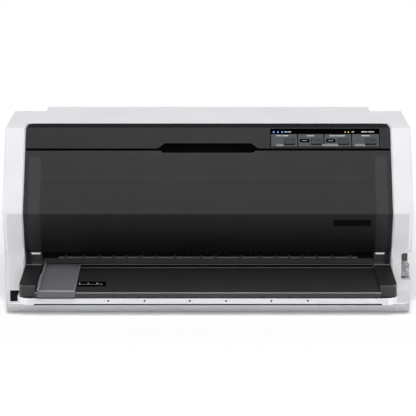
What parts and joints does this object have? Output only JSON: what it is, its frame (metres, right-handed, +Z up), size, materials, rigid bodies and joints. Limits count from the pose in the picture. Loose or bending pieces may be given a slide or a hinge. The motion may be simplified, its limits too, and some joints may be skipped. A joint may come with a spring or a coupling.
{
  "type": "dot matrix printer",
  "caption": "Flatbed impact printer with a smoked front cover that hinges down, a front paper table with a sliding edge guide, panel keys and a print carriage inside.",
  "frame": {"origin": "centre of the footprint box on the floor under the feet", "axes": "front faces -Y, +X to the viewer's right, +Z up"},
  "size_m": [0.48, 0.37, 0.2099],
  "materials": {
    "case_plastic": "fine-textured moulded ABS",
    "panel_plastic": "fine-textured moulded ABS",
    "label_film": "printed satin film",
    "lamp_lens": "clear tinted lens",
    "smoked_plastic": "smoked semi-gloss plastic",
    "light_plastic": "moulded acetal",
    "table_plastic": "fine-textured moulded ABS",
    "guide_plastic": "fine-textured moulded ABS",
    "key_plastic": "moulded keycap",
    "switch_plastic": "moulded nylon",
    "zinc_steel": "zinc-plated sheet",
    "ground_steel": "ground bar",
    "inner_plastic": "moulded glass-filled plastic",
    "cast_alloy": "die-cast heat sink",
    "knob_plastic": "moulded knob",
    "ribbon_fabric": "inked nylon weave",
    "motor_steel": "steel can",
    "roller_rubber": "ground rubber",
    "gear_plastic": "moulded acetal",
    "pinion_brass": "machined",
    "board_laminate": "glass-epoxy laminate with solder mask"
  },
  "bodies": {
    "printer": {"lower_case": "case_plastic", "upper_case": "case_plastic", "panel_bezel": "panel_plastic", "panel_label": "label_film", "status_lamps": "lamp_lens", "cover_brackets": "light_plastic", "front_table": "table_plastic", "paper_guide": "table_plastic", "switch_housing": "switch_plastic", "chassis_plate": "zinc_steel", "side_frame_left": "zinc_steel", "side_frame_right": "zinc_steel", "carriage_rod": "ground_steel", "head_rail": "zinc_steel", "ribbon_cartridge": "inner_plastic", "ink_ribbon": "ribbon_fabric", "belt_brackets": "zinc_steel", "carriage_motor": "motor_steel", "timing_belt": "roller_rubber", "gear_pins": "ground_steel", "feed_motor": "motor_steel", "tractor_rod": "ground_steel", "rear_guide": "table_plastic", "main_board": "board_laminate", "panel_board": "board_laminate", "power_supply": "zinc_steel", "power_inlet": "switch_plastic", "connectors": "zinc_steel", "rubber_feet": "roller_rubber", "case_screws": "ground_steel"},
    "front_cover": {"front_cover": "smoked_plastic"},
    "edge_guide": {"edge_guide": "guide_plastic"},
    "key_1": {"key_1": "key_plastic"},
    "key_2": {"key_2": "key_plastic"},
    "key_3": {"key_3": "key_plastic"},
    "key_4": {"key_4": "key_plastic"},
    "power_rocker": {"power_rocker": "switch_plastic"},
    "carriage": {"print_carriage": "inner_plastic", "print_head": "cast_alloy"},
    "ribbon_knob": {"ribbon_knob": "knob_plastic"},
    "drive_pulley": {"drive_pulley": "ground_steel"},
    "idler_pulley": {"idler_pulley": "ground_steel"},
    "platen": {"platen_roller": "roller_rubber", "platen_shaft": "ground_steel", "platen_gear": "gear_plastic"},
    "front_feed": {"front_feed_roller": "roller_rubber", "front_feed_gear": "gear_plastic"},
    "rear_feed": {"rear_feed_roller": "roller_rubber", "rear_feed_gear": "gear_plastic"},
    "front_pinch": {"front_pinch_rollers": "inner_plastic"},
    "rear_pinch": {"rear_pinch_rollers": "inner_plastic"},
    "front_idler": {"idler_gear_front": "gear_plastic"},
    "rear_idler": {"idler_gear_rear": "gear_plastic"},
    "motor_pinion": {"motor_pinion": "pinion_brass"},
    "tractor_shaft": {"tractor_shaft": "ground_steel"},
    "tractor_left": {"tractor_left": "inner_plastic"},
    "tractor_right": {"tractor_right": "inner_plastic"},
    "tractor_lid_left": {"tractor_lid_left": "inner_plastic"},
    "tractor_lid_right": {"tractor_lid_right": "inner_plastic"},
    "rear_cover": {"rear_cover": "case_plastic"}
  },
  "joints": [
    {"name": "front_cover_hinge", "type": "hinge", "parent": "printer", "child": "front_cover", "pos_m": [0, -0.084, 0.058], "axis": [1, 0, 0], "range_deg": [0, 62]},
    {"name": "rear_cover_hinge", "type": "hinge", "parent": "printer", "child": "rear_cover", "pos_m": [0, 0.177, 0.128], "axis": [-1, 0, 0], "range_deg": [0, 80]},
    {"name": "edge_guide_slide", "type": "slide", "parent": "printer", "child": "edge_guide", "axis": [1, 0, 0], "range_m": [0, 0.12]},
    {"name": "key_1_press", "type": "slide", "parent": "printer", "child": "key_1", "axis": [0, 0.8748, -0.4845], "range_m": [0, 0.0008], "stiffness_N_per_m": 400},
    {"name": "key_2_press", "type": "slide", "parent": "printer", "child": "key_2", "axis": [0, 0.8748, -0.4845], "range_m": [0, 0.0008], "stiffness_N_per_m": 400},
    {"name": "key_3_press", "type": "slide", "parent": "printer", "child": "key_3", "axis": [0, 0.8748, -0.4845], "range_m": [0, 0.0008], "stiffness_N_per_m": 400},
    {"name": "key_4_press", "type": "slide", "parent": "printer", "child": "key_4", "axis": [0, 0.8748, -0.4845], "range_m": [0, 0.0008], "stiffness_N_per_m": 400},
    {"name": "rocker_tilt", "type": "hinge", "parent": "printer", "child": "power_rocker", "pos_m": [-0.225, -0.1298, 0.0123], "axis": [1, 0, 0], "range_deg": [0, 10]},
    {"name": "carriage_slide", "type": "slide", "parent": "printer", "child": "carriage", "axis": [1, 0, 0], "range_m": [-0.03, 0.27]},
    {"name": "ribbon_knob_turn", "type": "hinge", "parent": "printer", "child": "ribbon_knob", "pos_m": [-0.15, -0.046, 0.106], "axis": [0, 0, 1], "continuous": true},
    {"name": "drive_pulley_turn", "type": "hinge", "parent": "printer", "child": "drive_pulley", "pos_m": [-0.186, 0.036, 0.1], "axis": [0, 0, 1], "continuous": true},
    {"name": "idler_pulley_turn", "type": "hinge", "parent": "printer", "child": "idler_pulley", "pos_m": [0.186, 0.036, 0.1], "axis": [0, 0, 1], "continuous": true},
    {"name": "platen_turn", "type": "hinge", "parent": "printer", "child": "platen", "pos_m": [0, 0, 0.038], "axis": [1, 0, 0], "continuous": true},
    {"name": "front_feed_turn", "type": "hinge", "parent": "printer", "child": "front_feed", "pos_m": [0, -0.04783, 0.042], "axis": [1, 0, 0], "continuous": true},
    {"name": "rear_feed_turn", "type": "hinge", "parent": "printer", "child": "rear_feed", "pos_m": [0, 0.04783, 0.042], "axis": [1, 0, 0], "continuous": true},
    {"name": "front_idler_turn", "type": "hinge", "parent": "printer", "child": "front_idler", "pos_m": [0, -0.02591, 0.04017], "axis": [1, 0, 0], "continuous": true},
    {"name": "rear_idler_turn", "type": "hinge", "parent": "printer", "child": "rear_idler", "pos_m": [0, 0.02591, 0.04017], "axis": [1, 0, 0], "continuous": true},
    {"name": "motor_pinion_turn", "type": "hinge", "parent": "printer", "child": "motor_pinion", "pos_m": [0, 0.02591, 0.02217], "axis": [1, 0, 0], "continuous": true},
    {"name": "front_pinch_turn", "type": "hinge", "parent": "printer", "child": "front_pinch", "pos_m": [0, -0.04783, 0.0603], "axis": [1, 0, 0], "continuous": true},
    {"name": "rear_pinch_turn", "type": "hinge", "parent": "printer", "child": "rear_pinch", "pos_m": [0, 0.04783, 0.0603], "axis": [1, 0, 0], "continuous": true},
    {"name": "tractor_shaft_turn", "type": "hinge", "parent": "printer", "child": "tractor_shaft", "pos_m": [0, 0.13, 0.084], "axis": [1, 0, 0], "continuous": true},
    {"name": "tractor_left_slide", "type": "slide", "parent": "printer", "child": "tractor_left", "axis": [1, 0, 0], "range_m": [-0.03, 0.03]},
    {"name": "tractor_right_slide", "type": "slide", "parent": "printer", "child": "tractor_right", "axis": [1, 0, 0], "range_m": [-0.03, 0.03]},
    {"name": "tractor_lid_left_hinge", "type": "hinge", "parent": "tractor_left", "child": "tractor_lid_left", "pos_m": [-0.141, 0.1, 0.0946], "axis": [0, 1, 0], "range_deg": [0, 100]},
    {"name": "tractor_lid_right_hinge", "type": "hinge", "parent": "tractor_right", "child": "tractor_lid_right", "pos_m": [0.141, 0.1, 0.0946], "axis": [0, -1, 0], "range_deg": [0, 100]}
  ],
  "couplings": [
    {"joint": "front_idler_turn", "follows": "platen_turn", "ratio": -1.1667},
    {"joint": "rear_idler_turn", "follows": "platen_turn", "ratio": -1.1667},
    {"joint": "front_feed_turn", "follows": "platen_turn", "ratio": 1.4},
    {"joint": "rear_feed_turn", "follows": "platen_turn", "ratio": 1.4},
    {"joint": "motor_pinion_turn", "follows": "platen_turn", "ratio": 2.3333},
    {"joint": "front_pinch_turn", "follows": "platen_turn", "ratio": -1.75},
    {"joint": "rear_pinch_turn", "follows": "platen_turn", "ratio": -1.75},
    {"joint": "drive_pulley_turn", "follows": "carriage_slide", "rad_per_m": 125},
    {"joint": "idler_pulley_turn", "follows": "carriage_slide", "rad_per_m": 125}
  ]
}
